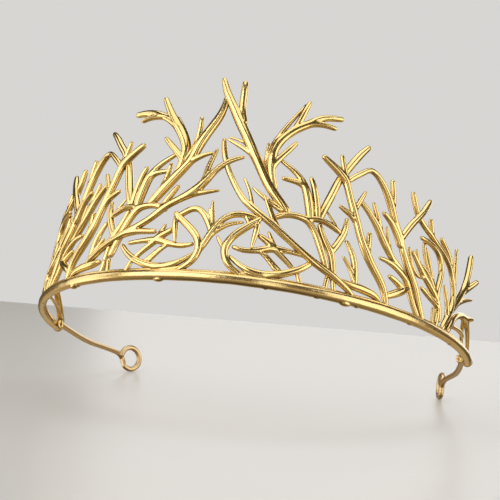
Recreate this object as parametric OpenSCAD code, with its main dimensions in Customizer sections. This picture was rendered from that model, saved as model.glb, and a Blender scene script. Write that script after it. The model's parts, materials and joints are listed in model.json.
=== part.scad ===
// Branch tiara: an open oval band, wire tails with loops, and sprays of cast
// twigs that rise from the band and lean in over the head.
// Seen from the front, X runs to the right, Y to the back and Z up. The origin
// is under the middle of the piece, on the level that the loops stand on.

/* [Band] */
// Half of the width across the band's centreline
half_width = 72; // [66:1:86]
// Depth of the band's half oval, front to widest point
oval_depth = 86; // [74:1:100]
// Height of the rail
rail_height = 3.2; // [2.6:0.1:3.8]
// Thickness of the rail, from inside to outside
rail_thick = 2.7; // [2:0.1:3.2]
// Diameter of the wire that is soldered along the top of the rail
top_wire_d = 1.1; // [0.9:0.1:1.5]

/* [Crown] */
// Height of the tallest tip above the rail's centreline
crown_height = 65; // [54:1:78]
// Lean of the twigs towards the head, in millimetres for each millimetre of height
lean = 0.11; // [0:0.01:0.18]
// Thickness of the twigs as a share of the drawn thickness
twig_gain = 1.05; // [0.85:0.05:1.25]

/* [Tails] */
// Diameter of the tail wires and of the loops' wire
tail_wire_d = 1.9; // [1.5:0.1:2.3]
// Clear radius inside each loop
loop_bore_r = 3.3; // [2.6:0.1:4]
// Length of a tail, from the band's end to the loop's centre
tail_length = 57; // [46:1:68]
// How far each loop's centre stands in from the band's end
tail_tuck = 12; // [6:1:18]

/* [Hidden] */
// Half length of the drawn pattern, measured along the band from its front
pattern_half = 127;
// Height of the drawn pattern
pattern_top = 65;
// Angle round the oval at which the band ends, past its widest point
band_end_angle = 91.8;
// Width of the flat land inside each loop, where a pin or a ribbon bears
loop_land = 0.8;
// Height of each loop's centre over the rail's centreline
loop_rise = 1.6;
// Turn of each loop about the upright, as bent by hand
left_loop_turn = -41;
right_loop_turn = 13;
// Sides of a thick twig, of a thin twig, of a wire and of the rail
twig_sides = 7;
fine_sides = 5;
wire_sides = 8;
rail_sides = 12;
// Twigs under this radius are drawn with the fewer sides
fine_under = 0.76;
// Length of one drawn step along a twig and along a tail
twig_step = 2.4;
tail_step = 6;
// Radius of the bead that ends the band
end_bead_r = 1.8;
// Each tail's start: height over the rail's centreline, way in from the rail, and way back from the band's end
tail_z = 0.5;
tail_gap = 0.3;
tail_ahead = 1.2;
// How far the bead on a tail's start stands out from the wire
tail_bead_over = 0.2;
// Degrees of the oval between two rings of the rail
rail_step = 5.2;
// The left half's twigs were set this much nearer to the middle
left_pull = 1.2;

rail_top = rail_height / 2;
wire_r = tail_wire_d / 2;
ring_r = loop_bore_r + sqrt(wire_r * wire_r - loop_land * loop_land / 4);
stand = max(rail_top, ring_r + wire_r - loop_rise);
end_x = half_width * sin(band_end_angle);
end_y = -oval_depth * cos(band_end_angle);
tail_x = end_x - rail_thick / 2 - tail_gap;
tail_y = end_y - tail_ahead;
tail_bead_r = wire_r + tail_bead_over;
loop_x = end_x - tail_tuck;
loop_y = end_y + sqrt(tail_length * tail_length - tail_tuck * tail_tuck);
loop_back = ring_r * cos(right_loop_turn) + wire_r;
front_y = -oval_depth - rail_thick / 2;
middle_y = (front_y + loop_y + loop_back) / 2;
gold = [0.83, 0.66, 0.36];
pale_gold = [0.90, 0.76, 0.48];

$fn = 48;

// The oval and the leaning surface that the twigs are laid on

function arc_rate(a) = norm([half_width * cos(a), oval_depth * sin(a)]) * PI / 180;
arc_table = [for (a = 0, run = 0; a <= 110; run = run + arc_rate(a + 0.5), a = a + 1) [run, a]];
half_arc = lookup(band_end_angle, [for (p = arc_table) [p[1], p[0]]]);
function angle_at(run) = sign(run) * lookup(abs(run), arc_table);
function outward(a) = let (n = [oval_depth * sin(a), -half_width * cos(a), 0]) n / norm(n);

// A pattern point is [run along the band, height, stand-off, radius]
function screen_angle(p) = angle_at(p[0] * half_arc / pattern_half);
function on_screen(p) =
    let (
        a = screen_angle(p),
        h = p[1] * crown_height / pattern_top,
        w = half_width - lean * h,
        q = oval_depth - lean * h
    )
    [w * sin(a), -q * cos(a), h] + p[2] * outward(a);

// Smooth routes and swept tubes

function held(i, n) = min(max(i, 0), n - 1);
function spline(p, i, t) =
    let (n = len(p), a = p[held(i - 1, n)], b = p[i], c = p[held(i + 1, n)], d = p[held(i + 2, n)])
    0.5 * (2 * b + (c - a) * t + (2 * a - 5 * b + 4 * c - d) * t * t + (3 * b - a - 3 * c + d) * t * t * t);
function steps_between(a, b, reach) = max(1, round(norm(b - a) / reach));
function smooth(p, reach) =
    [for (i = [0 : len(p) - 2])
        let (steps = steps_between(p[i], p[i + 1], reach))
            for (k = [0 : steps - 1]) spline(p, i, k / steps),
     p[len(p) - 1]];
function unit(v) = v / norm(v);
function heading(c, i) = unit(c[held(i + 1, len(c))] - c[held(i - 1, len(c))]);
function ring(centre, along, up, ru, rv, sides) =
    let (u = unit(cross(along, up)), v = cross(u, along))
    [for (k = [0 : sides - 1]) centre + ru * cos(360 * k / sides) * u + rv * sin(360 * k / sides) * v];

// Skin over a list of rings, closed at each end
module skin(rings) {
    n = len(rings[0]);
    m = len(rings);
    walls = [
        for (j = [0 : m - 2], i = [0 : n - 1])
            let (a = j * n + i, b = j * n + (i + 1) % n)
            each [[a, b + n, a + n], [a, b, b + n]]
    ];
    first = [for (i = [n - 1 : -1 : 0]) i];
    last = [for (i = [0 : n - 1]) (m - 1) * n + i];
    polyhedron(points = [for (r = rings) each r], faces = concat(walls, [first], [last]), convexity = 6);
}

// Tube along a list of centres, with a radius and an upright for each, and rounded ends
module tube(centres, radii, ups, sides) {
    n = len(centres);
    tip_share = 0.62;
    tip_reach = 0.55;
    first_way = heading(centres, 0);
    last_way = heading(centres, n - 1);
    r0 = radii[0] * tip_share;
    r1 = radii[n - 1] * tip_share;
    skin(concat(
        [ring(centres[0] - tip_reach * radii[0] * first_way, first_way, ups[0], r0, r0, sides)],
        [for (i = [0 : n - 1]) ring(centres[i], heading(centres, i), ups[i], radii[i], radii[i], sides)],
        [ring(centres[n - 1] + tip_reach * radii[n - 1] * last_way, last_way, ups[n - 1], r1, r1, sides)]
    ));
}

// Faceted ball, drawn as a short tube
module ball(centre, r) {
    shares = [-0.88, -0.6, -0.3, 0, 0.3, 0.6, 0.88];
    tube([for (k = shares) centre + [0, k * r, 0]],
         [for (k = shares) r * sqrt(1 - k * k)], [for (k = shares) [0, 0, 1]], rail_sides);
}

// One twig; side is 1 on the right and -1 for its mirror on the left
module twig(side, points) {
    mirrored = [for (p = points) [side * p[0], p[1], p[2], p[3] * twig_gain]];
    path = smooth(mirrored, twig_step);
    thick = max([for (p = path) p[3]]);
    sides = thick < fine_under ? fine_sides : twig_sides;
    tube([for (p = path) on_screen(p)], [for (p = path) p[3]], [for (p = path) outward(screen_angle(p))], sides);
}

module twigs(side, list) {
    color(gold)
        translate([0, -middle_y, stand])
            for (points = list) twig(side, points);
}

// Twigs that both sides share, with the left side's pull to the middle
module flank(side, list, pull = left_pull) {
    shift = side < 0 ? [pull, 0, 0, 0] : [0, 0, 0, 0];
    twigs(side, [for (points = list) [for (p = points) p - shift]]);
}

// Band, with its top wire and end beads

module oval_sweep(height, thick, rise, sides, end_angle) {
    count = ceil(2 * end_angle / rail_step);
    angles = [for (i = [0 : count]) -end_angle + 2 * end_angle * i / count];
    skin([
        for (a = angles)
            ring([half_width * sin(a), -oval_depth * cos(a), rise],
                 unit([half_width * cos(a), oval_depth * sin(a), 0]), [0, 0, 1], thick / 2, height / 2, sides)
    ]);
}

module band_rail() {
    color(pale_gold)
        translate([0, -middle_y, stand])
            oval_sweep(rail_height, rail_thick, 0, rail_sides, band_end_angle);
}

module band_top_wire() {
    wire_rise = rail_top - 0.1;
    wire_end = band_end_angle - 4;
    color(pale_gold)
        translate([0, -middle_y, stand])
            oval_sweep(top_wire_d, top_wire_d, wire_rise, fine_sides, wire_end);
}

module end_bead(side) {
    color(pale_gold)
        translate([0, -middle_y, stand]) {
            ball([side * end_x, end_y, 0], end_bead_r);
            ball([side * tail_x, tail_y, tail_z], tail_bead_r);
        }
}

module left_end_bead() end_bead(-1);
module right_end_bead() end_bead(1);

// Tail wires and loops

module tail(side, turn) {
    sweep_out = 1.6;
    sag = 0.5;
    dip = 14;
    lap = 0.55;
    across = [-sin(turn), cos(turn), 0];
    start = [side * tail_x, tail_y, tail_z];
    centre = [side * loop_x, loop_y, loop_rise];
    meet = centre - (ring_r + lap) * (cos(dip) * across + [0, 0, sin(dip)]);
    mid = (start + meet) / 2 + [side * sweep_out, 0, -sag];
    route = smooth([start, mid, meet], tail_step);
    color(gold)
        translate([0, -middle_y, stand])
            tube(route, [for (p = route) wire_r], [for (p = route) [0, 0, 1]], wire_sides);
}

module left_tail() tail(-1, left_loop_turn);
module right_tail() tail(1, right_loop_turn);

module loop(side, turn) {
    color(gold)
        translate([side * loop_x, loop_y - middle_y, stand + loop_rise])
            rotate([0, 90, turn])
                rotate_extrude()
                    difference() {
                        translate([ring_r, 0]) circle(r = wire_r);
                        translate([0, -tail_wire_d]) square([loop_bore_r, 2 * tail_wire_d]);
                    }
}

module left_loop() loop(-1, left_loop_turn);
module right_loop() loop(1, right_loop_turn);

// Central spires: the right one is the taller and forks, the left one leans to it

module left_spire() twigs(-1, [
    [[2.6, 57.6, 0, 0.85], [2.9, 54, 0, 1.2], [4.6, 50, 0, 1.35], [7, 46, 0, 1.45], [9, 42, 0, 1.45],
     [10.5, 38, 0, 1.3], [12, 35.5, 0, 1.3], [14.5, 32.5, 0, 1.4], [17.5, 29, 0, 1.45],
     [20, 26, 0, 1.4], [22.5, 23, 0, 1.2]],
    [[10, 50.8, 0, 0.75], [9.8, 47, 0, 0.8], [10.4, 43, 0, 0.8], [11.6, 39.5, 0, 0.8], [13.2, 36.5, 0, 0.9]],
    [[3.6, 39.2, 0.4, 0.45], [6, 38.8, 0.4, 0.65], [9, 37.4, 0.3, 0.8], [12.5, 35, 0.2, 0.9]],
    [[18, 35.8, -0.3, 0.55], [18.6, 32, -0.3, 0.75], [19.4, 28.5, -0.2, 0.8], [20.4, 25.5, 0, 0.9]]
]);

module right_spire() twigs(1, [
    [[-4.5, 64, 0, 0.85], [-2.9, 60, 0, 1.15], [0.1, 55, 0, 1.4], [3, 50, 0, 1.5], [6, 45.5, 0, 1.5],
     [8.6, 41, 0, 1.5], [11.3, 36.5, 0, 1.5], [13.9, 32, 0, 1.5], [16.5, 28.5, 0, 1.45],
     [19.2, 25.6, 0, 1.4], [21.6, 23.2, 0, 1.2]],
    [[2.9, 63.2, 0, 0.95], [3.1, 60, 0, 1.15], [3.1, 56.5, 0, 1.05], [3.5, 53, 0, 1.1], [4.6, 49.5, 0, 1.1]],
    [[0.2, 44, 0, 0.4], [3, 42.7, 0, 0.55], [5.6, 41.4, 0, 0.65], [8.6, 39.8, 0, 0.8]],
    [[0.4, 44.9, -0.4, 0.35], [3.2, 44.4, -0.5, 0.4], [5.6, 43.4, -0.5, 0.45], [7.4, 42.2, -0.3, 0.5]],
    [[10.3, 29.3, -0.6, 0.45], [12.4, 27.7, -0.6, 0.6], [16.2, 25.2, -0.5, 0.75], [20.2, 23, -0.2, 0.85]]
]);

// Hooked sprays beside the spires, arching outwards; the left one keeps its stem up to the top fork

module left_hook_spray() twigs(-1, [
    [[16, 30.4, -0.2, 1], [14.4, 34.4, 0, 1.15], [13.7, 37, 0, 1.25], [13.6, 40.2, 0, 1.3],
     [14.9, 43.6, 0, 1.35], [17.3, 47.1, 0, 1.4], [20.3, 50.9, 0, 1.25], [23, 54.5, 0, 1.1], [25.5, 58.2, 0, 0.85]],
    [[17.3, 47.6, 0, 1.2], [20.6, 50, 0, 1.2], [24, 52, 0, 1.15], [27.8, 53.3, 0, 1.1],
     [32.1, 54.1, 0, 1.05], [37.2, 54.2, 0, 0.95]],
    [[24.6, 52, 0.2, 0.9], [28.4, 52.3, 0.3, 0.85], [31.1, 52.1, 0.3, 0.8], [33.6, 51.4, 0.3, 0.65]],
    [[21.7, 44.3, 0.3, 0.7], [19.2, 42.1, 0.3, 0.9], [16.5, 39.6, 0.3, 0.95], [14.2, 37.4, 0.2, 1]],
    [[19.4, 51.6, -0.9, 0.5], [16.9, 48.4, -0.9, 0.65], [14.2, 44.4, -0.8, 0.7], [12.9, 40.9, -0.7, 0.75],
     [13, 37.6, -0.5, 0.75], [14, 34.6, -0.3, 0.7]]
]);

module right_hook_spray() twigs(1, [
    [[16.8, 29.8, -0.2, 1.1], [15.4, 34, 0, 1.2], [15, 38, 0, 1.35], [15.4, 42, 0, 1.3],
     [16.7, 45, 0, 1.25], [18.5, 47.2, 0, 1.2], [20.7, 49.2, 0, 1.25], [23.1, 50.8, 0, 1.2],
     [26, 52.7, 0, 1.15], [28.2, 54.4, 0, 1.05], [30.8, 55.6, 0, 1], [33.6, 56.1, 0, 1], [37, 56.5, 0, 0.85]],
    [[24.6, 51.9, 0.1, 1], [28.5, 53, 0.2, 0.95], [31.5, 53.2, 0.2, 0.85], [34.8, 52.8, 0.2, 0.7]],
    [[25.3, 59.4, 0, 0.75], [24.2, 57, 0, 0.9], [23.1, 54, 0, 0.95], [21.5, 50.6, 0, 0.95]],
    [[24.2, 58.8, -0.9, 0.4], [21.8, 55.2, -0.9, 0.5], [19.7, 52.4, -0.9, 0.6], [17.5, 49, -0.9, 0.7],
     [15.4, 45.4, -0.7, 0.7], [14, 41.5, -0.5, 0.7], [14.2, 37.5, -0.4, 0.75]],
    [[22.1, 45.3, 0.3, 0.7], [20.2, 43, 0.3, 0.85], [18.1, 40.5, 0.3, 0.9], [16.1, 38, 0.2, 0.95], [15.2, 36, 0, 1]],
    [[13.3, 44.3, -0.6, 0.45], [13.1, 41, -0.6, 0.55], [12.9, 37.5, -0.5, 0.55], [13.6, 34.5, -0.3, 0.6]]
]);

// Long stems that sweep from low on one side up to the middle

module left_long_stem() twigs(-1, [
    [[44, 5.6, 0.6, 1], [40, 8.6, 0.6, 1.1], [36.5, 10.6, 0.6, 1.1], [33.4, 12, 0.6, 1.1],
     [30, 13.4, 0.6, 1.1], [26.6, 14.9, 0.6, 1.05], [23.4, 16.4, 0.6, 1], [20.7, 18, 0.6, 1.05],
     [18.8, 19.6, 0.6, 1.05], [16.8, 21.3, 0.6, 1.05], [14.3, 22.8, 0.6, 1.05], [11.6, 24.2, 0.6, 1.1],
     [9, 25.8, 0.6, 1.2], [6.6, 27.8, 0.6, 1.25], [4.3, 30.2, 0.6, 1.1], [2.6, 33, 0.6, 1],
     [0.5, 35, 0.6, 0.9], [-1.6, 36.6, 0.6, 0.8], [-3.8, 37.7, 0.6, 0.7], [-6, 38.4, 0.6, 0.55]],
    [[6.6, 27.2, 0.5, 1.1], [5, 30.5, 0.4, 1], [4.8, 34, 0.3, 0.9], [4, 37, 0.2, 0.75], [2.7, 40.4, 0.2, 0.5]],
    [[11, 24.4, 0.5, 0.9], [7, 25.8, 0.3, 0.75], [3.4, 26.6, 0.2, 0.6], [0.2, 27.2, 0.2, 0.45]],
    [[18.6, 19.6, 0.4, 0.9], [17.2, 22.8, 0.3, 0.9], [15.4, 25.6, 0.3, 0.9], [13.6, 28.2, 0.3, 0.7]],
    [[29.5, 13.4, 0.5, 1], [26, 13.9, 0.4, 1], [22.4, 13.8, 0.4, 0.9], [18.6, 13.6, 0.4, 0.75]]
]);

module right_long_stem() twigs(1, [
    [[-1.1, 43.9, 0, 0.7], [-0.7, 41.2, 0, 0.85], [-0.1, 38.8, 0, 0.9], [0.6, 36.8, 0, 0.9],
     [2.1, 33.4, 0, 0.9], [3.8, 30.6, 0, 0.9], [5.6, 27.8, 0.2, 0.9], [7.4, 25.4, 0.4, 0.95],
     [9.2, 23.6, 0.6, 1], [11.7, 22, 0.6, 1.05], [14.3, 20.3, 0.6, 1.05], [17.6, 18, 0.6, 1.05],
     [20.4, 15.9, 0.6, 1.05], [24, 13.4, 0.6, 1], [27.8, 10.8, 0.6, 1.1], [31.4, 8.7, 0.6, 1.15],
     [36.8, 6.1, 0.6, 1.1], [40, 4.4, 0.5, 1], [42.8, 2.8, 0.4, 0.9], [44.4, 1.6, 0.2, 0.7]],
    [[7.3, 31.6, 0.3, 0.5], [8.8, 29.2, 0.3, 0.6], [9.8, 26.8, 0.4, 0.65], [10.7, 23.8, 0.5, 0.7]],
    [[14, 27.2, 0.2, 0.4], [15.4, 24, 0.3, 0.5], [16.6, 21.4, 0.4, 0.55], [18.2, 18.3, 0.5, 0.65]],
    [[15.2, 26.4, 0.2, 0.4], [16.4, 23.4, 0.3, 0.5], [17.6, 20.6, 0.4, 0.55], [19.4, 17.6, 0.5, 0.65]]
]);

// Low arcs that bridge from the long stems out to the band, with a short branch

module arc_stem(side) flank(side, [
    [[18, 20.8, -0.2, 0.9], [20.4, 21.9, 0, 0.95], [23, 22.4, 0, 0.95], [26, 22.2, 0, 1],
     [28.4, 21.4, 0, 1.05], [30.6, 18.8, 0, 1.05], [32.2, 15.6, 0, 1.05], [33.6, 12.4, 0, 1.05],
     [34.8, 9.4, 0, 1], [35.6, 6.8, 0, 0.95]],
    [[27.6, 21.8, 0, 0.95], [30, 22.4, 0.1, 0.95], [32.4, 22.5, 0.2, 0.95], [34.8, 21.9, 0.2, 0.9],
     [37, 20.9, 0.2, 0.85], [38.8, 20, 0.2, 0.7]],
    [[34.4, 25.6, -0.2, 0.35], [36.4, 23.2, -0.1, 0.45], [38.3, 20.6, 0.1, 0.5]]
]);

module left_arc_stem() arc_stem(-1);
module right_arc_stem() arc_stem(1);

// Slim pairs that stand on the arcs

module slim_stems(side) flank(side, [
    [[18, 39.2, -0.6, 0.55], [20.2, 37.9, -0.4, 0.7], [22.4, 36.5, -0.3, 0.8], [24.5, 34.8, -0.2, 0.9],
     [25.9, 33, 0, 1.1], [26.9, 31, 0, 1.3], [27.8, 28, 0, 1.4], [28.5, 25, 0, 1.4], [28.9, 22.4, 0, 1.2]],
    [[19.2, 33.5, -0.2, 0.65], [21.8, 33.3, -0.1, 0.8], [24.4, 33, 0, 0.85], [26.2, 31.8, 0, 0.9]],
    [[28.1, 35, 0.2, 0.7], [29.3, 32.6, 0.2, 0.9], [30.1, 29.6, 0.1, 1], [30.8, 26.5, 0, 1.1], [31.3, 23, 0, 1.05]]
]);

module left_slim_stems() slim_stems(-1);
module right_slim_stems() slim_stems(1);

// Stems that stand between the arcs, the long stems and the band

module low_stems(side) flank(side, [
    [[32.3, 21, -0.4, 0.8], [33.3, 18.4, -0.4, 0.95], [35, 15.5, -0.4, 1.05], [36.8, 12.9, -0.4, 1.05],
     [37.4, 10.4, -0.4, 1.05], [37.8, 7.8, -0.4, 1], [38.1, 5.4, -0.3, 0.9]],
    [[37.1, 14, -0.3, 1], [38.7, 16.5, -0.3, 1.1], [40.1, 19, -0.3, 1.1], [41.2, 21.6, -0.3, 1], [41.4, 24.8, -0.3, 0.7]],
    [[41.6, 18, -0.3, 0.6], [43.3, 15.8, -0.2, 0.8], [44.5, 13, 0, 0.95], [45.1, 10, 0, 1], [45.3, 7.2, 0, 1],
     [45.3, 5, 0, 0.95]],
    [[40.8, 12.8, 0, 0.45], [42.4, 11, 0, 0.6], [43.9, 8.8, 0, 0.75], [44.9, 6.4, 0, 0.8]]
]);

module left_low_stems() low_stems(-1);
module right_low_stems() low_stems(1);

// Antlers: tall forked stems from the band, one on each flank

module antler(side) flank(side, [
    [[31.6, 42.8, 0.3, 0.85], [33.8, 41.4, 0.3, 1.05], [36.4, 39.8, 0.3, 1.2], [38.7, 38, 0.3, 1.25],
     [40.2, 36.3, 0.3, 1.2], [41, 34, 0.3, 1.15], [41.8, 31.6, 0.3, 1.1], [43, 28.8, 0.3, 1.15],
     [44.5, 25.4, 0.3, 1.2], [45.8, 21.7, 0.3, 1.2], [47.4, 18, 0.3, 1.25], [49.2, 15, 0.3, 1.35],
     [51, 12.5, 0.3, 1.3], [53.4, 9.9, 0.3, 1.25], [55.4, 7.4, 0.3, 1.15], [56.6, 5, 0.2, 1.05], [57.4, 1.8, 0, 0.95]],
    [[37.9, 44.5, 0.3, 0.65], [38.5, 42.2, 0.3, 0.75], [39.2, 39.8, 0.3, 0.85], [40.2, 37.2, 0.3, 0.9]],
    [[38.4, 28.3, 0.2, 0.6], [40.8, 27.2, 0.2, 0.8], [43, 26.2, 0.2, 0.9], [44.8, 24, 0.2, 0.9]],
    [[47.4, 35, 0.2, 0.65], [46.1, 32.6, 0.2, 0.75], [44.6, 30, 0.2, 0.75], [43.6, 27.6, 0.2, 0.8]],
    [[49.7, 22.2, 0.2, 0.8], [49.6, 19.6, 0.2, 0.85], [49.4, 17, 0.2, 0.9], [49.8, 14.4, 0.2, 0.95]]
]);

module left_antler() antler(-1);
module right_antler() antler(1);

// Cross stems that rise from the arcs behind the antlers, with the tip's extra reach

module cross_stem(side, reach = 0) flank(side, [
    [[48.8 + reach, 50.4, -0.9, 0.85], [46.2 + 0.7 * reach, 47.9, -0.9, 1.1],
     [43.4 + 0.4 * reach, 44.5, -0.9, 1.2], [41.4, 41.8, -0.9, 1.2],
     [39.8, 39.4, -0.9, 1.2], [37.8, 36.4, -0.9, 1.2], [36.4, 33.2, -0.7, 1.25], [35, 30.1, -0.4, 1.3],
     [33.6, 27.1, -0.1, 1.25], [32.4, 24.2, 0, 1.15], [31.8, 22.4, 0, 1]]
]);

module left_cross_stem() cross_stem(-1, 3);
module right_cross_stem() cross_stem(1);

// Side stems, between the antlers and the arch stems, with a knot halfway

module side_stem(side) flank(side, [
    [[45.6, 32.2, -0.3, 0.75], [48, 30.6, -0.3, 0.9], [50, 28.8, -0.3, 0.95], [51.8, 27, -0.3, 1],
     [53.4, 25.2, -0.3, 1.1], [54.8, 23, -0.3, 1.15], [56.4, 21, -0.3, 1.2], [57.6, 19.6, -0.3, 1.15],
     [59.6, 17.3, -0.3, 1], [61.8, 15.9, -0.4, 1.05], [64.4, 14.3, -0.5, 1.05], [66.8, 12.4, -0.6, 1],
     [68.4, 9.6, -0.6, 0.9], [69.6, 6.6, -0.6, 0.85], [71.2, 3.9, -0.4, 0.85], [72.4, 1.8, -0.2, 0.8]],
    [[51.2, 32.6, -0.2, 0.6], [52.3, 30.2, -0.2, 0.7], [53.4, 27.8, -0.2, 0.8], [54.4, 25, -0.2, 0.9]],
    [[56.8, 26.4, 0, 0.4], [57.3, 24, 0, 0.5], [58, 21.6, 0, 0.55], [58.8, 18.8, -0.1, 0.6]],
    [[54.4, 15.8, 0, 0.6], [57.2, 15.7, 0, 0.75], [60.2, 15, 0, 0.8], [63.4, 13.6, -0.1, 0.8], [66.4, 12, -0.3, 0.8]]
]);

module left_side_stem() side_stem(-1);
module right_side_stem() side_stem(1);

// Arch stems: rise from the band, bend over and meet the antlers

module arch_stem(side) flank(side, [
    [[40.9, 37.2, 0.4, 0.9], [42.8, 38.8, 0.3, 0.9], [46.6, 41.4, 0.2, 0.9], [49.2, 43.2, 0, 0.85],
     [52, 42, 0, 0.95], [55.2, 39, 0, 1.1], [57.2, 36.2, 0, 1.15], [58.7, 33.3, 0, 1.15],
     [59.8, 30.7, 0, 1.1], [61, 28, 0, 1.1], [62.6, 25.2, 0, 1.1], [63.9, 22.4, 0, 1.05],
     [65, 19.5, 0, 1.1], [66.4, 17, 0, 1.2], [68.2, 14.4, 0, 1.25], [70, 12, 0, 1.2],
     [71.4, 9.2, 0, 1.15], [72.4, 6.4, 0, 1.05], [73.6, 4, 0, 1], [74.6, 1.6, 0, 0.95]],
    [[58.9, 41.8, 0, 0.85], [59.4, 39.3, 0, 0.85], [59.5, 36.6, 0, 0.9], [59.4, 33.4, 0, 0.95]],
    [[55.2, 30.4, 0.2, 0.7], [57.1, 29.3, 0.2, 0.85], [59.1, 27.8, 0.2, 0.95], [61.2, 25.2, 0.1, 1], [63, 22, 0, 1]],
    [[78.6, 41, 0.6, 0.8], [76.9, 39.1, 0.6, 0.95], [74.2, 36, 0.6, 1.05], [69.9, 32, 0.5, 1.1],
     [67.3, 29.3, 0.3, 1.1], [64.5, 25.8, 0.1, 1.1], [62.8, 23.6, 0, 1]]
]);

module left_arch_stem() arch_stem(-1);
module right_arch_stem() arch_stem(1);

// Short logs that lie just over the band

module log_piece(side) flank(side, [
    [[57, 4.4, 0.3, 1.05], [61, 6.2, 0.3, 1.3], [64.6, 8, 0.1, 1.3], [67.4, 9.4, -0.2, 1]],
    [[58.5, 11, 0.2, 0.75], [61, 10.2, 0.2, 0.9], [63.2, 9.2, 0.2, 1], [64.8, 7.9, 0.2, 1.05]],
    [[40.2, 5.2, 0, 0.8], [43.8, 4.6, 0, 1.15], [48.2, 4.3, 0, 1.3], [52.6, 3.5, 0, 1.1], [54.6, 2.4, 0, 0.7]]
]);

module left_log() log_piece(-1);
module right_log() log_piece(1);

// Outer stems, reeds and rear stems, along the flanks

module outer_stem(side) flank(side, [
    [[73.9, 27.7, 0.2, 0.65], [77.4, 27.6, 0.2, 0.8], [81.2, 27.2, 0.2, 0.9], [84.3, 26.3, 0.2, 0.95],
     [86.3, 24.6, 0.2, 0.95], [87.3, 22.4, 0.2, 0.95], [87.3, 20.4, 0.2, 0.95], [86.5, 17.7, 0.2, 1],
     [85, 14.8, 0.1, 1], [84, 12.2, 0, 1], [84.3, 9.6, 0, 1.05], [84.6, 7.3, 0, 1.05], [84, 5, 0, 1], [82.8, 1.8, 0, 0.95]]
]);

module left_outer_stem() outer_stem(-1);
module right_outer_stem() outer_stem(1);

module reeds(side) flank(side, [
    [[69.7, 21.9, -0.2, 0.55], [71.8, 19.8, -0.2, 0.7], [74.1, 17.6, -0.2, 0.9], [76.4, 15.8, -0.2, 1],
     [79.2, 14, -0.2, 1], [81.2, 12.6, -0.2, 1],
     [83.2, 10.8, 0.1, 1], [84.4, 8.6, 0.3, 1], [84.8, 6, 0.4, 0.95], [84.6, 3.6, 0.3, 0.85]],
    [[68, 22.8, -0.4, 0.55], [68.6, 19.8, -0.4, 0.6], [69.8, 17, -0.4, 0.65], [72.4, 14.8, -0.4, 0.65],
     [76, 15.4, -0.4, 0.6]],
    [[72, 23.2, -0.3, 0.45], [72.7, 21.2, -0.3, 0.5], [73.8, 19.2, -0.3, 0.55], [75.6, 16.6, -0.3, 0.6]],
    [[74.5, 19.3, -0.3, 0.4], [76.7, 18.5, -0.3, 0.5], [79.2, 17.4, -0.4, 0.55], [81.2, 15.8, -0.4, 0.6], [82.6, 13, -0.3, 0.6]],
    [[77.6, 27.2, -0.9, 0.6], [77.5, 24.6, -0.9, 0.7], [78.2, 21.8, -0.9, 0.7], [79.6, 18.8, -0.7, 0.65], [80.8, 15.6, -0.5, 0.6]],
    [[78.8, 25.6, -0.9, 0.5], [80.1, 23, -0.9, 0.65], [80.9, 20.2, -0.8, 0.7], [81.7, 17.4, -0.6, 0.7], [82.8, 13.4, -0.3, 0.65]],
    [[73.9, 11.5, 0.2, 0.6], [76.4, 10.5, 0.2, 0.75], [79.2, 9.4, 0.2, 0.8], [82.6, 8.6, 0.2, 0.8], [84.6, 7.6, 0.1, 0.8]],
    [[77, 11.8, 0, 0.4], [79.3, 10.7, 0, 0.5], [82.2, 9.6, 0.1, 0.55]],
    [[81.2, 6.9, 0, 0.45], [80.9, 4.4, 0, 0.5], [80.6, 1.6, 0, 0.5]]
]);

module left_reeds() reeds(-1);
module right_reeds() reeds(1);

module rear_stem(side) flank(side, [
    [[69.7, 41.2, -0.3, 0.85], [70.8, 38.6, -0.3, 0.95], [71.8, 36, -0.3, 0.95], [73.8, 33.7, -0.3, 0.95],
     [76.5, 32, -0.2, 0.95], [79.2, 30.8, 0, 0.95], [82.3, 29.5, 0, 0.95], [85.5, 28.2, 0, 0.95],
     [89.3, 27, 0.2, 0.95], [92.3, 25.5, 0.3, 0.95], [95, 23.6, 0.3, 0.9], [96.7, 21.4, 0.3, 0.85],
     [97.7, 18.6, 0.3, 0.85], [98, 15.4, 0.3, 0.9], [96.9, 12.4, 0.2, 0.95], [95.2, 9.5, 0.1, 1.05],
     [92.8, 7, 0, 1.1], [90, 4.4, 0, 1.05], [87.6, 1.8, 0, 0.95]],
    [[80, 35.2, 0.1, 0.8], [80.4, 33, 0.1, 0.85], [81, 30.6, 0.1, 0.85]],
    [[87.6, 31.2, 0.3, 0.75], [89.5, 30, 0.3, 0.85], [92.5, 28.2, 0.3, 0.9], [95, 26, 0.3, 0.9], [96.8, 22.6, 0.3, 0.8]],
    [[101.6, 31.6, 0.6, 0.65], [100.9, 28, 0.5, 0.7], [100.2, 24.4, 0.4, 0.7], [99.4, 20.4, 0.3, 0.7], [98.4, 16, 0.3, 0.7]],
    [[90, 16.4, 0, 0.5], [91.1, 14.4, 0, 0.65], [92, 12, 0, 0.7], [92.4, 9.8, 0, 0.75], [91.8, 7.2, 0, 0.75]]
]);

module left_rear_stem() rear_stem(-1);
module right_rear_stem() rear_stem(1);

// Fans that lean outwards near the band's ends; the left one was pressed flatter

module fan(side, out) flank(side, [
    [[95.4, 9.4, 0, 1.05], [98.4, 12, 0.3 * out, 1.15], [103, 15.8, 0.7 * out, 1.15],
     [107.5, 19.8, 1.2 * out, 1.15], [110.5, 23.8, 1.9 * out, 1.1], [112.5, 28.2, 2.5 * out, 1.1],
     [114, 32.8, 3 * out, 0.95]],
    [[107.4, 18.8, 1.2 * out, 0.95], [110.4, 21.4, 2.8 * out, 0.95], [113, 24, 4.8 * out, 0.85]],
    [[100.6, 13.2, 0.4 * out, 0.95], [105.6, 15.6, 1.4 * out, 0.8], [111, 17.3, 3.2 * out, 0.4]]
]);

module left_fan() fan(-1, 0.3);
module right_fan() fan(1, 1);

// End arches over the last stretch of the band, with two legs down to the tail

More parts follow.
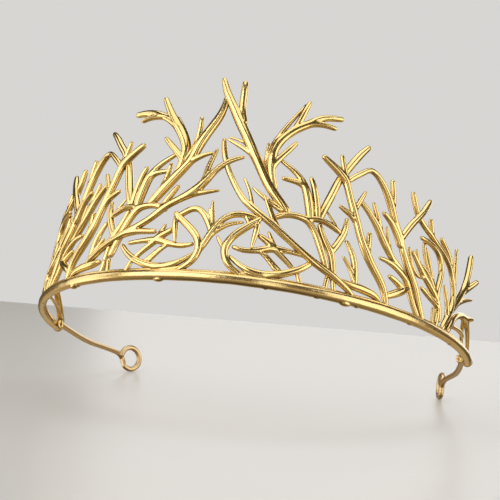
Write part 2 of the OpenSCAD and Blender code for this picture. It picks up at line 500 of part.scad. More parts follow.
module end_arch(side, pull, low_strand) flank(side, [
    [[91.5, 2, 0.2, 0.9], [94.2, 5, 0.3, 0.95], [97.6, 7.6, 0.3, 1], [102, 9.6, 0.3, 1.05],
     [108, 11, 0.4, 1.1], [113, 11, 0.6, 1.05], [118, 9, 0.6, 0.8], [122, 5.4, 0.3, 0.6], [124.8, 1.6, -0.2, 0.6]],
    [[111.6, 11, 0.5, 1], [114.4, 11.6, 1.4, 0.9], [116.4, 12, 2.6, 0.6]],
    [[113.6, 10.8, -0.2, 0.7], [116.4, 8.2, -1, 0.65], [119.6, 5.4, -1.6, 0.65], [122.4, 3.2, -1.8, 0.65], [124.6, 1.4, -1.7, 0.7]],
    low_strand
], pull);

module left_end_arch() end_arch(-1, -1.2, [
    [94.6, 4.6, 0.1, 0.7], [101.5, 5.6, -0.2, 0.65], [108, 6, -0.6, 0.6], [114.5, 5, -1.2, 0.55],
    [119.8, 3.2, -1.8, 0.55], [124.2, 1.2, -1.9, 0.6]
]);
module right_end_arch() end_arch(1, 0, [
    [94.6, 4.6, 0.1, 0.75], [101.5, 5.2, 0, 0.7], [106.5, 5.4, 0, 0.7], [110.4, 4.8, 0, 0.55]
]);

// Scrolls: a crescent, an arc over it, a bowl under it and a stem through it

module crescent(side) flank(side, [
    [[13.6, 19.3, 0.7, 0.8], [10.4, 16.6, 0.8, 1.05], [8.1, 14.7, 0.8, 1.1], [6.1, 12.7, 0.8, 1.15],
     [4.8, 10.6, 0.8, 1.15], [4.4, 8.2, 0.8, 1.15], [4.9, 6, 0.8, 1.1], [6.1, 4.1, 0.7, 1],
     [7.8, 2.8, 0.5, 0.9], [9.6, 1.6, 0.3, 0.7]],
    [[13.3, 17.8, 0.9, 0.75], [13, 15.4, 1, 0.95], [12.5, 12.6, 1, 0.75], [12.1, 10, 0.9, 0.35]],
    [[1.7, 12.6, 0.2, 0.5], [2.4, 11.2, 0.4, 0.6], [3.8, 9.4, 0.6, 0.6]]
]);

module left_crescent() crescent(-1);
module right_crescent() crescent(1);

module left_scroll_arc() twigs(-1, [
    [[12.4, 17.8, 0.4, 0.85], [9.6, 19.8, 0.3, 0.9], [7.6, 21, 0.3, 0.95], [5.6, 21.1, 0.2, 0.95],
     [3.8, 19.9, 0.2, 0.95], [2.2, 17.6, 0.1, 0.95], [1, 15.2, 0, 0.9], [0.3, 13.2, 0, 0.8]],
    [[1.5, 23.6, 0, 0.45], [1.1, 20.6, 0, 0.6], [0.5, 17.4, 0, 0.7], [0, 14.4, 0, 0.75]],
    [[2.2, 21.4, 0.1, 0.35], [1.8, 19.4, 0.1, 0.45], [1, 17, 0.1, 0.5]]
]);

module right_scroll_arc() twigs(1, [
    [[-3.4, 7.6, 0.4, 0.8], [-2.4, 9.2, 0.4, 1], [-1.4, 11.4, 0.4, 1.05], [-0.4, 13.8, 0.4, 1],
     [0.9, 16.2, 0.4, 0.95], [2.6, 18.2, 0.4, 0.95], [4.6, 19.6, 0.4, 0.95], [6.9, 20.2, 0.4, 0.9],
     [9.1, 20.2, 0.4, 0.9], [11.4, 19.8, 0.4, 0.9], [13.6, 19.2, 0.3, 0.8]],
    [[-0.4, 13.2, 0.2, 0.75], [1.9, 15.2, 0.2, 0.75], [4.2, 16.7, 0.2, 0.7], [6.4, 17.4, 0.2, 0.55], [8.7, 17.8, 0.2, 0.35]],
    [[9.4, 19.8, 0.4, 0.65], [10.8, 17.2, 0.6, 0.7]]
]);

module bowl(side) flank(side, [
    [[6.2, 6.8, -0.2, 0.6], [8.8, 4.8, 0, 0.75], [11.4, 3.4, 0.2, 0.95], [14.3, 2.6, 0.2, 1.1],
     [17.4, 2.5, 0.2, 1.15], [20.6, 3, 0.2, 1.15], [23.8, 4.2, 0.2, 1.1], [26.6, 5.6, 0.2, 1.05], [29.2, 7.4, 0.1, 0.95], [31.4, 9.6, -0.2, 0.8]],
    [[8, 3.4, 0, 0.45], [10.6, 2, 0.1, 0.55], [13.8, 1.4, 0.2, 0.6], [17.4, 1.5, 0.2, 0.6]]
]);

module left_bowl() bowl(-1);
module right_bowl() bowl(1);

module scroll_stem(side) flank(side, [
    [[6.8, 9.9, 0, 0.65], [9.8, 9.1, 0, 0.75], [12.4, 9.4, 0, 0.85], [15.3, 10.1, 0, 1],
     [18.5, 10.9, 0, 1.05], [21.9, 11, 0, 0.85], [25, 10.7, 0.1, 0.7], [28.6, 10.2, 0.3, 0.65]],
    [[14.2, 14.2, 0, 0.85], [16.6, 12.9, 0, 1.05], [18.8, 11.4, 0, 1.05]],
    [[16.7, 15.8, 0, 0.5], [17.9, 13.6, 0, 0.65], [19, 11.4, 0, 0.7]],
    [[19.2, 10.6, 0, 0.8], [21.7, 8.7, 0, 0.85], [23.9, 6.9, 0, 0.8], [25.2, 5.4, 0.1, 0.7]],
    [[14.8, 9.4, 0.1, 0.5], [17.5, 7, 0.1, 0.6], [20, 4.2, 0.2, 0.65]],
    [[16.4, 8.9, 0.1, 0.5], [19.1, 6.4, 0.1, 0.6], [21.4, 4.2, 0.2, 0.65]]
]);

module left_scroll_stem() scroll_stem(-1);
module right_scroll_stem() scroll_stem(1);

// Footings: short legs that tie the scrolls and arcs down to the rail

module footings(side) flank(side, [
    [[26.4, 4.8, 0, 0.65], [27.1, 2.8, 0, 0.7], [27.9, 1.2, 0, 0.75]],
    [[36.1, 5.6, -0.2, 0.8], [35.6, 3.4, -0.1, 0.7], [35.2, 1.2, 0, 0.7]],
    [[37.8, 5.4, -0.2, 0.8], [38, 3.2, -0.1, 0.75], [38.3, 1.2, 0, 0.75]]
]);

module left_footings() footings(-1);
module right_footings() footings(1);

band_rail();
band_top_wire();
left_end_bead();
right_end_bead();
left_tail();
right_tail();
left_loop();
right_loop();
left_spire();
right_spire();
left_hook_spray();
right_hook_spray();
left_long_stem();
right_long_stem();
left_arc_stem();
right_arc_stem();
left_slim_stems();
right_slim_stems();
left_low_stems();
right_low_stems();
left_antler();
right_antler();
left_cross_stem();
right_cross_stem();
left_side_stem();
right_side_stem();
left_arch_stem();
right_arch_stem();
left_log();
right_log();
left_outer_stem();
right_outer_stem();
left_reeds();
right_reeds();
left_rear_stem();
right_rear_stem();
left_fan();
right_fan();
left_end_arch();
right_end_arch();
left_crescent();
right_crescent();
left_scroll_arc();
right_scroll_arc();
left_bowl();
right_bowl();
left_scroll_stem();
right_scroll_stem();
left_footings();
right_footings();
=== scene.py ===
# Branch tiara: cast twigs on an oval band, with wire tails that end in eyes.
# Everything is in metres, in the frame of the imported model.
import json
import math

import bmesh
import bpy
from mathutils import Matrix, Vector


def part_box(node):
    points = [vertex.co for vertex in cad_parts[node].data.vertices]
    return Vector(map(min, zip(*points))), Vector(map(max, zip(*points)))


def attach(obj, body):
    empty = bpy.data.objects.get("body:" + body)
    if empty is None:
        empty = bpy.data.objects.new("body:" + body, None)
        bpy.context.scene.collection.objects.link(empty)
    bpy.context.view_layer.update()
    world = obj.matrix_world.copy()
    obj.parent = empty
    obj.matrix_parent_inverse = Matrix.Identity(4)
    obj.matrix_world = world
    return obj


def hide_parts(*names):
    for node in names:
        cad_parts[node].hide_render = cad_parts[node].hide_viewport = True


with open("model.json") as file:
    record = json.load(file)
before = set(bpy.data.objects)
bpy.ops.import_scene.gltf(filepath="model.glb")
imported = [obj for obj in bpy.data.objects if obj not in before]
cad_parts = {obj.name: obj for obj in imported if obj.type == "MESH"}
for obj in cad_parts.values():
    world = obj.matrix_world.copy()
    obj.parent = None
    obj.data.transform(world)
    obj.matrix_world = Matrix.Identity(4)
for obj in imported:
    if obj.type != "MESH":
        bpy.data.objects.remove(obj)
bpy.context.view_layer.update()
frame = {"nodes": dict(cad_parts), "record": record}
mm = 0.001
weld = 0.001 * mm   # vertices of a copied piece that are nearer than this are one
slotOf = {part["node"]: part["material_slot"] for part in frame["record"]["subparts"]}

# the band's centreline is half an oval, found again from the rail's box
railLow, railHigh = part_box("band_rail")
bandSettings = {
    "thick": 2.7 * mm,
    "high": railHigh.z - railLow.z,
    "depth": 86.0 * mm,
    "endAngle": 91.8,
    "rings": 150,
    "sides": 20,
}
bandSettings["halfWidth"] = railHigh.x - bandSettings["thick"] / 2
bandSettings["middle"] = Vector((
    0, railLow.y + bandSettings["thick"] / 2 + bandSettings["depth"], (railLow.z + railHigh.z) / 2))


def ovalPoint(angle):
    # a point on the band's centreline; 0 is the front, 90 the wearer's side on the right
    a = math.radians(angle)
    across = bandSettings["halfWidth"] * math.sin(a)
    return bandSettings["middle"] + Vector((across, -bandSettings["depth"] * math.cos(a), 0))


def ovalWay(angle):
    a = math.radians(angle)
    across = bandSettings["halfWidth"] * math.cos(a)
    return Vector((across, bandSettings["depth"] * math.sin(a), 0)).normalized()


def bandAngles(end):
    # even steps round the oval, from one end to the other
    count = bandSettings["rings"]
    return [-end + 2 * end * i / count for i in range(count + 1)]


viewSettings = {  # the camera looks up at the band from a little to the right
    "azimuth": 11.9,
    "elevation": -15.0,
    "roll": 7.3,
    "distance": 478.7 * mm,
    "aim": ovalPoint(0) + Vector((3.6, 40.0, 19.9)) * mm,
    "lens": 108.8,
    "sensor": 36,
}


def viewMatrix(settings):
    az = math.radians(settings["azimuth"])
    el = math.radians(settings["elevation"])
    back = Vector((math.sin(az) * math.cos(el), -math.cos(az) * math.cos(el), math.sin(el)))
    right = Vector((math.cos(az), math.sin(az), 0))
    turn = Matrix((right, back.cross(right), back)).transposed().to_4x4()
    place = Matrix.Translation(settings["aim"] + back * settings["distance"])
    return place @ turn @ Matrix.Rotation(math.radians(settings["roll"]), 4, "Z")


def addCamera():
    data = bpy.data.cameras.new("camera")
    data.lens = viewSettings["lens"]
    data.sensor_width = viewSettings["sensor"]
    camera = bpy.data.objects.new("camera", data)
    bpy.context.scene.collection.objects.link(camera)
    camera.matrix_world = viewMatrix(viewSettings)
    bpy.context.scene.camera = camera


addCamera()
print("camera placed")


# finishes

mixA, mixB, mixColour = 6, 7, 2   # a Mix node's colour inputs and its colour output


def addNode(tree, kind, **inputs):
    node = tree.nodes.new(kind)
    for name, value in inputs.items():
        node.inputs[name.replace("_", " ")].default_value = value
    return node


def newGroup(name, inputs, outputs):
    tree = bpy.data.node_groups.new(name, "ShaderNodeTree")
    for label, kind, value in inputs:
        socket = tree.interface.new_socket(label, in_out="INPUT", socket_type=kind)
        socket.default_value = value
    for label, kind in outputs:
        tree.interface.new_socket(label, in_out="OUTPUT", socket_type=kind)
    return tree, tree.nodes.new("NodeGroupInput"), tree.nodes.new("NodeGroupOutput")


creaseSettings = {
    "samples": 6,
    "deep": 0.25,   # openness at which a crease gets its full painted shade
    "open": 0.8,    # and at which it has no painted shade
}


def creaseShadeGroup():
    # painted shade: an ambient occlusion mask that darkens the colour where twigs meet, 1 deep in a crease
    # and 0 in the open
    tree, given, out = newGroup(
        "paintedCreaseShade",
        [("Reach", "NodeSocketFloat", 1.5 * mm), ("Depth", "NodeSocketFloat", 1.0)],
        [("Mask", "NodeSocketFloat")],
    )
    shade = tree.nodes.new("ShaderNodeAmbientOcclusion")
    shade.samples = creaseSettings["samples"]
    tree.links.new(given.outputs["Reach"], shade.inputs["Distance"])
    ramp = tree.nodes.new("ShaderNodeMapRange")
    ramp.interpolation_type = "SMOOTHSTEP"
    ramp.inputs["From Min"].default_value = creaseSettings["deep"]
    ramp.inputs["From Max"].default_value = creaseSettings["open"]
    ramp.inputs["To Min"].default_value = 1
    ramp.inputs["To Max"].default_value = 0
    tree.links.new(shade.outputs["AO"], ramp.inputs["Value"])
    scale = addNode(tree, "ShaderNodeMath")
    scale.operation = "MULTIPLY"
    tree.links.new(ramp.outputs["Result"], scale.inputs[0])
    tree.links.new(given.outputs["Depth"], scale.inputs[1])
    tree.links.new(scale.outputs["Value"], out.inputs["Mask"])
    return tree


surfaceSettings = {
    "lumpDetail": 2,
    "grainDetail": 3,
    "fineness": 0.55,          # roughness of both noises
    "driftScale": 0.12 / mm,
    "driftDetail": 2,
    "glossFrom": (0.35, 0.65),   # the grain's range that is spread from smooth to rough
}


def castGroup():
    # low lumps and a fine grain from casting, and a slow drift of the plating's colour
    tree, given, out = newGroup(
        "castSurface",
        [("Lump Size", "NodeSocketFloat", 1.6), ("Grain Size", "NodeSocketFloat", 0.3),
         ("Grain Share", "NodeSocketFloat", 0.25)],
        [("Height", "NodeSocketFloat"), ("Drift", "NodeSocketFloat"), ("Gloss", "NodeSocketFloat")],
    )
    where = tree.nodes.new("ShaderNodeTexCoord")

    def speckle(sizeName, detail):
        # noise whose grains have the given size in millimetres
        size = addNode(tree, "ShaderNodeMath")
        size.operation = "DIVIDE"
        size.inputs[0].default_value = 1 / mm
        tree.links.new(given.outputs[sizeName], size.inputs[1])
        noise = addNode(tree, "ShaderNodeTexNoise", Detail=detail, Roughness=surfaceSettings["fineness"])
        tree.links.new(where.outputs["Object"], noise.inputs["Vector"])
        tree.links.new(size.outputs["Value"], noise.inputs["Scale"])
        return noise

    lumps = speckle("Lump Size", surfaceSettings["lumpDetail"])
    grain = speckle("Grain Size", surfaceSettings["grainDetail"])
    drift = addNode(tree, "ShaderNodeTexNoise",
                    Scale=surfaceSettings["driftScale"], Detail=surfaceSettings["driftDetail"])
    tree.links.new(where.outputs["Object"], drift.inputs["Vector"])
    height = addNode(tree, "ShaderNodeMix")
    tree.links.new(given.outputs["Grain Share"], height.inputs["Factor"])
    tree.links.new(lumps.outputs["Fac"], height.inputs["A"])
    tree.links.new(grain.outputs["Fac"], height.inputs["B"])
    tree.links.new(height.outputs["Result"], out.inputs["Height"])
    tree.links.new(drift.outputs["Fac"], out.inputs["Drift"])
    tree.links.new(grain.outputs["Fac"], out.inputs["Gloss"])
    return tree


paintedCreaseShade = creaseShadeGroup()
castSurface = castGroup()

# each finish's crease colour is painted shade, mixed in where twigs meet
goldFinishes = {  # sizes of lumps and grain are in millimetres
    "twig_gold": {
        "pale": (0.97, 0.76, 0.35, 1), "deep": (0.84, 0.60, 0.21, 1), "crease": (0.12, 0.055, 0.015, 1),
        "creaseReach": 1.5 * mm, "creaseDepth": 0.95, "lump": 2.8, "grain": 0.6, "grainShare": 0.06,
        "smooth": 0.13, "rough": 0.19, "bump": 0.02 * mm,
    },
    "band_gold": {
        "pale": (0.95, 0.74, 0.35, 1), "deep": (0.83, 0.60, 0.24, 1), "crease": (0.2, 0.1, 0.03, 1),
        "creaseReach": 1.0 * mm, "creaseDepth": 0.85, "lump": 3.2, "grain": 0.5, "grainShare": 0.1,
        "smooth": 0.18, "rough": 0.27, "bump": 0.04 * mm,
    },
    "wire_gold": {
        "pale": (0.84, 0.63, 0.35, 1), "deep": (0.73, 0.52, 0.26, 1), "crease": (0.3, 0.15, 0.06, 1),
        "creaseReach": 1.0 * mm, "creaseDepth": 0.7, "lump": 2.4, "grain": 0.4, "grainShare": 0.2,
        "smooth": 0.3, "rough": 0.42, "bump": 0.05 * mm,
    },
}


def goldMaterial(name, finish):
    material = bpy.data.materials.new(name)
    material.use_nodes = True
    tree = material.node_tree
    shader = tree.nodes["Principled BSDF"]
    shader.inputs["Metallic"].default_value = 1
    surface = tree.nodes.new("ShaderNodeGroup")
    surface.node_tree = castSurface
    surface.inputs["Lump Size"].default_value = finish["lump"]
    surface.inputs["Grain Size"].default_value = finish["grain"]
    surface.inputs["Grain Share"].default_value = finish["grainShare"]
    crease = tree.nodes.new("ShaderNodeGroup")
    crease.node_tree = paintedCreaseShade
    crease.inputs["Reach"].default_value = finish["creaseReach"]
    crease.inputs["Depth"].default_value = finish["creaseDepth"]
    plating = addNode(tree, "ShaderNodeMix")
    plating.data_type = "RGBA"
    plating.inputs[mixA].default_value = finish["pale"]
    plating.inputs[mixB].default_value = finish["deep"]
    tree.links.new(surface.outputs["Drift"], plating.inputs["Factor"])
    # painted shade: the occlusion mask mixes the dark crease colour over the plating
    creaseShadeMix = addNode(tree, "ShaderNodeMix")
    creaseShadeMix.data_type = "RGBA"
    creaseShadeMix.inputs[mixB].default_value = finish["crease"]
    tree.links.new(crease.outputs["Mask"], creaseShadeMix.inputs["Factor"])
    tree.links.new(plating.outputs[mixColour], creaseShadeMix.inputs[mixA])
    tree.links.new(creaseShadeMix.outputs[mixColour], shader.inputs["Base Color"])
    gloss = addNode(tree, "ShaderNodeMapRange")
    gloss.inputs["From Min"].default_value = surfaceSettings["glossFrom"][0]
    gloss.inputs["From Max"].default_value = surfaceSettings["glossFrom"][1]
    gloss.inputs["To Min"].default_value = finish["smooth"]
    gloss.inputs["To Max"].default_value = finish["rough"]
    tree.links.new(surface.outputs["Gloss"], gloss.inputs["Value"])
    tree.links.new(gloss.outputs["Result"], shader.inputs["Roughness"])
    bump = addNode(tree, "ShaderNodeBump", Strength=1.0, Distance=finish["bump"])
    tree.links.new(surface.outputs["Height"], bump.inputs["Height"])
    tree.links.new(bump.outputs["Normal"], shader.inputs["Normal"])
    return material


materials = {name: goldMaterial(name, finish) for name, finish in goldFinishes.items()}
print("finishes made:", ", ".join(materials))


# pieces

def newPiece(name, bm, slot):
    bmesh.ops.recalc_face_normals(bm, faces=bm.faces)
    mesh = bpy.data.meshes.new(name)
    bm.to_mesh(mesh)
    bm.free()
    piece = bpy.data.objects.new(name, mesh)
    bpy.context.scene.collection.objects.link(piece)
    finishPiece(piece, slot)
    return piece


def finishPiece(piece, slot):
    piece.data.materials.clear()
    piece.data.materials.append(materials[slot])
    for face in piece.data.polygons:
        face.use_smooth = True
    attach(piece, "root")


def applyModifiers(piece):
    seen = piece.evaluated_get(bpy.context.evaluated_depsgraph_get())
    mesh = bpy.data.meshes.new_from_object(seen)
    piece.modifiers.clear()
    piece.data = mesh


def lumpPattern(name, size):
    texture = bpy.data.textures.new(name, "CLOUDS")
    texture.noise_scale = size
    texture.noise_depth = 1
    return texture


smoothShare = 0.5   # how far one smoothing step moves a vertex to the middle of its neighbours


def castSkin(piece, settings):
    # gives a piece one skin with soft crotches and an uneven face, as a casting has
    cast = piece.modifiers.new("cast", "REMESH")
    cast.mode = "VOXEL"
    cast.voxel_size = settings["voxel"]
    rounding = piece.modifiers.new("rounding", "SMOOTH")
    rounding.factor = smoothShare
    rounding.iterations = settings["roundSteps"]
    regain = piece.modifiers.new("regain", "DISPLACE")
    regain.strength = settings["regain"]
    regain.mid_level = 0
    lumps = piece.modifiers.new("lumps", "DISPLACE")
    lumps.texture = settings["pattern"]
    lumps.texture_coords = "LOCAL"
    lumps.strength = settings["lumps"]
    lumps.mid_level = 0.5
    last = piece.modifiers.new("last", "SMOOTH")
    last.factor = smoothShare
    last.iterations = settings["lastSteps"]
    applyModifiers(piece)


castSettings = {
    "flat": 14,            # degrees between two triangles that are one face of a twig
    "valley": 60,          # degrees of a valley between two twigs, which stays crisp
    "roundLevels": 2,
    "voxel": 0.16 * mm,
    "roundSteps": 12,
    "regain": 0.12 * mm,   # puts back what the rounding takes off
    "pattern": lumpPattern("castLumps", 6.0 * mm),
    "lumps": 0.12 * mm,
    "lastSteps": 2,
}


def mergedCopy(node):
    bm = bmesh.new()
    bm.from_mesh(frame["nodes"][node].data)
    bmesh.ops.remove_doubles(bm, verts=bm.verts, dist=weld)
    return bm


def castPiece(node):
    # a cast twig spray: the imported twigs, rounded except in the valleys, with one skin
    bm = mergedCopy(node)
    bmesh.ops.join_triangles(
        bm, faces=bm.faces, cmp_seam=False, cmp_sharp=False, cmp_uvs=False, cmp_vcols=False,
        cmp_materials=False, angle_face_threshold=math.radians(castSettings["flat"]),
        angle_shape_threshold=math.pi)
    crease = bm.edges.layers.float.new("crease_edge")
    valley = math.radians(castSettings["valley"])
    for edge in bm.edges:
        if edge.is_manifold and not edge.is_convex and edge.calc_face_angle() > valley:
            edge[crease] = 1
    piece = newPiece(node + "_cast", bm, slotOf[node])
    rounder = piece.modifiers.new("rounder", "SUBSURF")
    rounder.levels = castSettings["roundLevels"]
    rounder.render_levels = castSettings["roundLevels"]
    castSkin(piece, castSettings)
    finishPiece(piece, slotOf[node])
    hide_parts(node)


castNodes = [node for node, slot in slotOf.items() if slot == "twig_gold"]
for node in castNodes:
    castPiece(node)
print("twigs cast:", len(castNodes))


# band and wires

def ringPlace(place, way, radius, high=None, side=None):
    # the place of one ring of a wire, from its middle, the way it runs and its half sizes
    side = side or way.cross(Vector((0, 0, 1))).normalized()
    up = side.cross(way)
    turn = Matrix((side * radius, up * (high or radius), way * radius)).transposed().to_4x4()
    return Matrix.Translation(place) @ turn


def sweepWire(bm, places, sides):
    # rings are made along the wire and bridged, and its two ends are closed
    rings = []
    for place in places:
        made = bmesh.ops.create_circle(bm, segments=sides, radius=1, matrix=place)["verts"]
        rings.append(list({edge for vert in made for edge in vert.link_edges}))
    for near, far in zip(rings, rings[1:]):
        bmesh.ops.bridge_loops(bm, edges=near + far)
    for end in (rings[0], rings[-1]):
        bmesh.ops.contextual_create(bm, geom=end)


wireTips = [(0.95, 0.35), (0.75, 0.7), (0.4, 0.95)]   # a dome's rings: radius, and how far past the end


def wireAlong(bm, points, radius, sides):
    # a round wire with domed ends
    count = len(points)
    ways = [(points[min(i + 1, count - 1)] - points[max(i - 1, 0)]).normalized() for i in range(count)]
    side = ways[0].orthogonal().normalized()
    places = [ringPlace(points[0] - ways[0] * radius * past, ways[0], radius * share, side=side)
              for share, past in reversed(wireTips)]
    for point, way in zip(points, ways):
        side = (side - way * way.dot(side)).normalized()   # carried along, so the wire never twists
        places.append(ringPlace(point, way, radius, side=side))
    places += [ringPlace(points[-1] + ways[-1] * radius * past, ways[-1], radius * share, side=side)
               for share, past in wireTips]
    sweepWire(bm, places, sides)


def smoothRoute(points, step):
    # points on one smooth curve through the given ones
    route = []
    for i in range(len(points) - 1):
        before = points[max(i - 1, 0)]
        a = points[i]
        b = points[i + 1]
        after = points[min(i + 2, len(points) - 1)]
        count = max(1, round((b - a).length / step))
        for k in range(count):
            s = k / count
            route.append(0.5 * (2 * a + (b - before) * s + (2 * before - 5 * a + 4 * b - after) * s * s
                                + (3 * a - before - 3 * b + after) * s ** 3))
    route.append(points[-1])
    return route


def addBead(bm, place, radius, stretch, facets, turn=0):
    # a blob of solder, stretched, turned about the upright and put in its place
    made = bmesh.ops.create_uvsphere(bm, u_segments=facets[0], v_segments=facets[1], radius=radius)["verts"]
    bmesh.ops.scale(bm, vec=stretch, verts=made)
    bmesh.ops.rotate(bm, matrix=Matrix.Rotation(turn, 3, "Z"), verts=made)
    bmesh.ops.translate(bm, vec=place, verts=made)


bandCast = {
    "voxel": 0.2 * mm,
    "roundSteps": 6,
    "regain": 0.05 * mm,
    "pattern": lumpPattern("bandLumps", 9.0 * mm),
    "lumps": 0.2 * mm,
    "lastSteps": 3,
}
solderSettings = {  # solder that ran under the band
    # angle round the oval, radius in millimetres, and length as a share of the radius
    "drips": [(-39, 0.9, 1.9), (-37, 0.6, 1.0), (-11.5, 0.8, 2.0), (14, 0.5, 1.4), (26, 0.45, 2.4),
              (33, 0.85, 2.2), (36, 0.5, 1.6), (52, 0.5, 2.6), (-62, 0.5, 1.6), (70, 0.5, 1.8)],
    "wide": 1.2,    # a drip's width and height as shares of its radius
    "high": 0.8,
    "facets": (16, 10),
    "drop": 0.92,   # share of the rail's half height at which a drip hangs
}


def addBand():
    # a flattened rail swept round the oval, with solder drips along its underside
    bm = bmesh.new()
    halfThick = bandSettings["thick"] / 2
    halfHigh = bandSettings["high"] / 2
    places = [ringPlace(ovalPoint(angle), ovalWay(angle), halfThick, halfHigh)
              for angle in bandAngles(bandSettings["endAngle"])]
    sweepWire(bm, places, bandSettings["sides"])
    under = Vector((0, 0, -solderSettings["drop"] * halfHigh))
    for angle, radius, length in solderSettings["drips"]:
        way = ovalWay(angle)
        stretch = (length, solderSettings["wide"], solderSettings["high"])
        turn = math.atan2(way.y, way.x)
        addBead(bm, ovalPoint(angle) + under, radius * mm, stretch, solderSettings["facets"], turn)
    piece = newPiece("band_rail_cast", bm, "band_gold")
    castSkin(piece, bandCast)
    finishPiece(piece, "band_gold")
    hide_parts("band_rail")


topWireSettings = {
    "radius": 0.56 * mm,
    "sides": 12,
    "endAngle": 87.8,
    "rise": 0.1 * mm,      # its centre lies this far under the rail's top
    "waver": 0.08 * mm,    # it was soldered on by hand
    "waves": (0.23, 0.35),   # how fast it wavers to the back and upwards, in radians a degree
}


def addTopWire():
    bm = bmesh.new()
    settings = topWireSettings
    backWave, upWave = settings["waves"]
    top = bandSettings["high"] / 2 - settings["rise"]
    points = []
    for angle in bandAngles(settings["endAngle"]):
        back = settings["waver"] * math.sin(angle * backWave)
        up = top + settings["waver"] * math.sin(angle * upWave)
        points.append(ovalPoint(angle) + Vector((0, back, up)))
    wireAlong(bm, points, settings["radius"], settings["sides"])
    piece = newPiece("band_top_wire_soldered", bm, "band_gold")
    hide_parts("band_top_wire")


lugSettings = {
    "angle": 88.9,           # place round the oval
    "inwards": 2.2 * mm,     # its middle, from the band's centreline
    "radius": 0.95 * mm,
    "tall": 1.25,            # height as a share of its width
    "turns": {-1: 65, 1: 0},   # how far each side's lug is turned about the upright
    "wire": 0.55 * mm,
    "sides": 10,
    "bends": [20 * step for step in range(17)],   # degrees round the lug, from its top
}


def addEndBead(side, node):
    # the blob that closes the band, and a small bent lug inside it where the tail was soldered on
    bm = mergedCopy(node)
    settings = lugSettings
    middle = ovalPoint(side * settings["angle"]) - Vector((side * settings["inwards"], 0, 0))
    twist = Matrix.Rotation(math.radians(settings["turns"][side]), 3, "Z")
    points = []
    for bend in settings["bends"]:
        a = math.radians(bend)
        out = twist @ Vector((side * math.sin(a), 0, settings["tall"] * math.cos(a)))
        points.append(middle + settings["radius"] * out)
    wireAlong(bm, points, settings["wire"], settings["sides"])
    piece = newPiece(node + "_cast", bm, "band_gold")
    castSkin(piece, bandCast)
    finishPiece(piece, "band_gold")
    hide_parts(node)


wireCast = {
    "voxel": 0.16 * mm,
    "roundSteps": 8,
    "regain": 0.06 * mm,
    "pattern": lumpPattern("wireLumps", 5.0 * mm),
    "lumps": 0.1 * mm,
    "lastSteps": 3,
}
tailSettings = {
    "wire": 0.95 * mm,
    "sides": 14,
    "start": (1.65, 0.9, 0.5),   # from the band's end, inwards, forwards and up, in millimetres
    "sag": 0.5 * mm,
    "sweepOut": 1.5 * mm,
    "turns": {"left": -41, "right": 13},   # how far each eye is turned about the upright
    "meet": -98,       # degrees round the eye, from its lowest point, at which the wire kinks down
    "meetOut": 1.9,    # and how far outside the eye's round, in wire radii
    "first": -32,      # where it has run into the eye's round
    "close": 262,      # and where the eye closes on itself
    "eyeSteps": 40,
    "easing": 4,       # steps of the eye over which the straight wire eases into it
    "routeStep": 1.2 * mm,
    "solder": 0.75 * mm,
    "solderAt": (264, 0.9),   # its place round the eye, and how far outside, in wire radii
    "solderStretch": (1, 1, 1.1),
    "solderFacets": (20, 12),
}


def addTail(side, name):
    # one wire that runs back from the band's end, kinks down and is bent round into an eye
    settings = tailSettings
    low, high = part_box(name + "_loop")
    centre = (low + high) / 2
    ringRadius = (high.z - low.z) / 2 - settings["wire"]
    turn = math.radians(settings["turns"][name])
    across = Vector((-math.sin(turn), math.cos(turn), 0))

    def onEye(angle, outside=0):
        a = math.radians(angle)
        radius = ringRadius + outside * settings["wire"]
        return centre + radius * (math.sin(a) * across - math.cos(a) * Vector((0, 0, 1)))

    inwards, forwards, up = settings["start"]
    start = ovalPoint(side * bandSettings["endAngle"]) + Vector((-side * inwards, -forwards, up)) * mm
    meet = onEye(settings["meet"], settings["meetOut"])
    mid = (start + meet) / 2 + Vector((side * settings["sweepOut"], 0, -settings["sag"]))
    first = settings["first"]
    sweep = settings["close"] - first
    steps = settings["eyeSteps"]
    eye = [onEye(first + sweep * i / steps) for i in range(steps + 1)]
    eased = eye[settings["easing"]]
    route = smoothRoute([start, mid, meet, eye[0], eased], settings["routeStep"])
    bend = [point for point in route if (point - eased).length > (eye[0] - eased).length]
    bm = bmesh.new()
    wireAlong(bm, bend + eye, settings["wire"], settings["sides"])
    addBead(bm, onEye(*settings["solderAt"]), settings["solder"], settings["solderStretch"],
            settings["solderFacets"])
    piece = newPiece(name + "_tail_wire", bm, "wire_gold")
    castSkin(piece, wireCast)
    finishPiece(piece, "wire_gold")
    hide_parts(name + "_tail", name + "_loop")


addBand()
addTopWire()
for side, name in ((-1, "left"), (1, "right")):
    addEndBead(side, name + "_end_bead")
    addTail(side, name)
print("band, end beads and tails made")


# stage and light

stageSettings = {
    "tilt": 17,          # degrees
    "drop": 0.4 * mm,    # gap under the eyes
    "halfWidth": 1.1,
    "toFront": 1.3,
    "toBack": 0.3,
    "colour": (0.8, 0.79, 0.77, 1),
    "rough": 0.35,
}


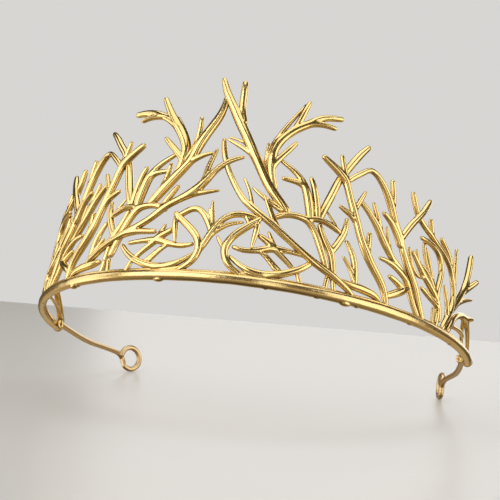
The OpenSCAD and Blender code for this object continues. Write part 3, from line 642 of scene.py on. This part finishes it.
def addStage():
    # the tiara rests on its two eyes and leans back, so the floor is tipped the other way
    low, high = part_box("left_loop")
    rest = Vector((0, (low.y + high.y) / 2, low.z - stageSettings["drop"]))
    bm = bmesh.new()
    bmesh.ops.create_grid(bm, x_segments=1, y_segments=1, size=1)
    length = stageSettings["toFront"] + stageSettings["toBack"]
    bmesh.ops.scale(bm, vec=(stageSettings["halfWidth"], length / 2, 1), verts=bm.verts)
    bmesh.ops.translate(bm, vec=(0, stageSettings["toBack"] - length / 2, 0), verts=bm.verts)
    tilt = Matrix.Rotation(math.radians(stageSettings["tilt"]), 3, "X")
    bmesh.ops.rotate(bm, matrix=tilt, verts=bm.verts)
    bmesh.ops.translate(bm, vec=rest, verts=bm.verts)
    mesh = bpy.data.meshes.new("floor")
    bm.to_mesh(mesh)
    bm.free()
    floor = bpy.data.objects.new("floor", mesh)
    bpy.context.scene.collection.objects.link(floor)
    material = bpy.data.materials.new("paleFloor")
    material.use_nodes = True
    shader = material.node_tree.nodes["Principled BSDF"]
    shader.inputs["Base Color"].default_value = stageSettings["colour"]
    shader.inputs["Roughness"].default_value = stageSettings["rough"]
    floor.data.materials.append(material)
    floor.visible_glossy = False   # the gold mirrors the dim room, not the floor


# each soft light's azimuth from the front, elevation, distance, width, height and watts
lightSettings = {
    "key": (-36, 10, 1.0, 1.1, 1.0, 6.2),
    "left": (-92, 5, 1.0, 0.6, 1.2, 2.8),
    "front": (24, -2, 1.1, 0.22, 1.2, 1.1),
    "side": (82, 10, 1.0, 1.0, 1.1, 4.8),
    "top": (-10, 78, 1.0, 1.2, 1.2, 6.0),
    "back": (170, 25, 1.1, 1.2, 0.5, 2.3),
}


def addLight(name, azimuth, elevation, distance, width, height, watts):
    az = math.radians(azimuth)
    el = math.radians(elevation)
    way = Vector((math.sin(az) * math.cos(el), -math.cos(az) * math.cos(el), math.sin(el)))
    data = bpy.data.lights.new(name, "AREA")
    data.shape = "RECTANGLE"
    data.size = width
    data.size_y = height
    data.energy = watts
    light = bpy.data.objects.new(name, data)
    bpy.context.scene.collection.objects.link(light)
    light.location = viewSettings["aim"] + way * distance
    light.rotation_euler = way.to_track_quat("Z", "Y").to_euler()


roomSettings = {
    "backdrop": (0.8, 0.79, 0.77, 1),
    "backdropStrength": 0.85,
    "shades": [  # what the gold mirrors, from straight down at 0 to straight up at 1
        (0.0, (0.08, 0.06, 0.04, 1)),
        (0.15, (0.28, 0.23, 0.16, 1)),
        (0.4, (0.52, 0.43, 0.30, 1)),
        (0.49, (0.13, 0.095, 0.055, 1)),
        (1.0, (0.05, 0.04, 0.025, 1)),
    ],
}


def addWorld():
    world = bpy.data.worlds.new("studio")
    world.use_nodes = True
    bpy.context.scene.world = world
    tree = world.node_tree
    seen = tree.nodes["Background"]
    seen.inputs["Color"].default_value = roomSettings["backdrop"]
    seen.inputs["Strength"].default_value = roomSettings["backdropStrength"]
    # a dim warm room above and a brighter table below
    direction = tree.nodes.new("ShaderNodeTexCoord")
    height = tree.nodes.new("ShaderNodeSeparateXYZ")
    tree.links.new(direction.outputs["Generated"], height.inputs["Vector"])
    room = tree.nodes.new("ShaderNodeValToRGB")
    room.color_ramp.interpolation = "EASE"
    stops = room.color_ramp.elements
    while len(stops) < len(roomSettings["shades"]):
        stops.new(0.5)
    for stop, (place, shade) in zip(stops, roomSettings["shades"]):
        stop.position = place
        stop.color = shade
    lift = addNode(tree, "ShaderNodeMapRange")
    lift.inputs["From Min"].default_value = -1
    tree.links.new(height.outputs["Z"], lift.inputs["Value"])
    tree.links.new(lift.outputs["Result"], room.inputs["Fac"])
    around = tree.nodes.new("ShaderNodeBackground")
    tree.links.new(room.outputs["Color"], around.inputs["Color"])
    path = tree.nodes.new("ShaderNodeLightPath")
    mix = tree.nodes.new("ShaderNodeMixShader")
    tree.links.new(path.outputs["Is Camera Ray"], mix.inputs[0])
    tree.links.new(around.outputs[0], mix.inputs[1])
    tree.links.new(seen.outputs[0], mix.inputs[2])
    tree.links.new(mix.outputs[0], tree.nodes["World Output"].inputs["Surface"])


addStage()
for name, values in lightSettings.items():
    addLight(name, *values)
addWorld()
bpy.context.scene.view_settings.view_transform = "Standard"
print("stage and lights set")
